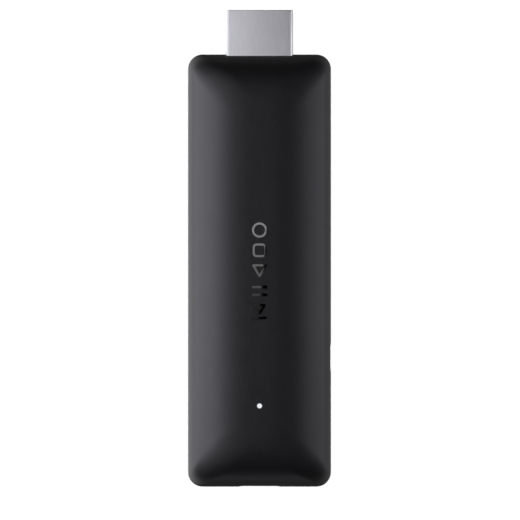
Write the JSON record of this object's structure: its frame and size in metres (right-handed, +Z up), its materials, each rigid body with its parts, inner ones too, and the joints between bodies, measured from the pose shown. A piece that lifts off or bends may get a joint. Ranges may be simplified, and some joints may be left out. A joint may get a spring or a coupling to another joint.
{
  "type": "streaming media player",
  "caption": "Slim black stick-shaped media player with an HDMI plug on one end, a micro-USB power socket on the other, a status light on top and a reset button in one side.",
  "frame": {"origin": "centre of the flat rest face under the case", "axes": "+Y along the case towards the HDMI plug, +Z up through the top face, +X across the case towards the reset button"},
  "size_m": [0.0296, 0.0992, 0.013],
  "materials": {
    "case_plastic": "fine matt texture, black",
    "gloss_mark": "polished black inlay",
    "label_film": "blank satin film, dark grey",
    "clear_plastic": "clear, lit from inside",
    "plug_steel": "satin, rolled along the plug",
    "black_insulator": "moulded black",
    "gold_contact": "thin gold plating",
    "button_plastic": "fine matt texture, black",
    "tinned_steel": "bright tinned sheet",
    "white_plastic": "moulded white",
    "solder_metal": "bright solder",
    "led_light": "clear resin over the light",
    "board_laminate": "green solder mask",
    "module_laminate": "dark blue solder mask",
    "chip_plastic": "moulded resin",
    "thermal_pad": "soft silicone, pale blue",
    "spreader_aluminium": "satin sheet",
    "capacitor_ceramic": "fired ceramic, tan",
    "resistor_body": "black coat on ceramic",
    "capacitor_resin": "moulded resin, ochre",
    "ferrite": "pressed iron powder, grey",
    "screw_steel": "bright zinc"
  },
  "bodies": {
    "case": {"top_cover": "case_plastic", "bottom_cover": "case_plastic", "front_marks": "gloss_mark", "rating_label": "label_film", "light_pipe": "clear_plastic", "hdmi_shell": "plug_steel", "hdmi_insulator": "black_insulator", "hdmi_upper_contacts": "gold_contact", "hdmi_lower_contacts": "gold_contact", "usb_shell": "plug_steel", "usb_tongue": "black_insulator", "usb_contacts": "gold_contact", "switch_housing": "black_insulator", "switch_cover": "tinned_steel", "switch_dome": "tinned_steel", "switch_terminals": "solder_metal", "led_body": "white_plastic", "led_lens": "led_light", "main_board": "board_laminate", "processor": "chip_plastic", "memory_chips": "chip_plastic", "flash_chip": "chip_plastic", "power_chips": "chip_plastic", "signal_chips": "chip_plastic", "inner_pads": "thermal_pad", "shield_frame": "tinned_steel", "shield_lid": "tinned_steel", "upper_pad": "thermal_pad", "upper_spreader": "spreader_aluminium", "lower_pad": "thermal_pad", "lower_spreader": "spreader_aluminium", "ground_springs": "gold_contact", "radio_module": "module_laminate", "radio_can": "tinned_steel", "left_antenna": "tinned_steel", "right_antenna": "tinned_steel", "chip_capacitors": "capacitor_ceramic", "chip_resistors": "resistor_body", "chip_part_ends": "solder_metal", "bulk_capacitors": "capacitor_resin", "power_inductors": "ferrite", "crystals": "tinned_steel", "board_screws": "screw_steel"},
    "button": {"reset_button": "button_plastic"},
    "plunger": {"switch_plunger": "white_plastic"}
  },
  "joints": [
    {"name": "button_press", "type": "slide", "parent": "case", "child": "button", "axis": [-1, 0, 0], "range_m": [0, 0.0003], "stiffness_N_per_m": 1500, "springref_m": -0.0005},
    {"name": "plunger_press", "type": "slide", "parent": "case", "child": "plunger", "axis": [-1, 0, 0], "range_m": [0, 0.0003], "deforming": ["switch_dome"]}
  ],
  "couplings": [
    {"joint": "plunger_press", "follows": "button_press", "ratio": 1}
  ]
}
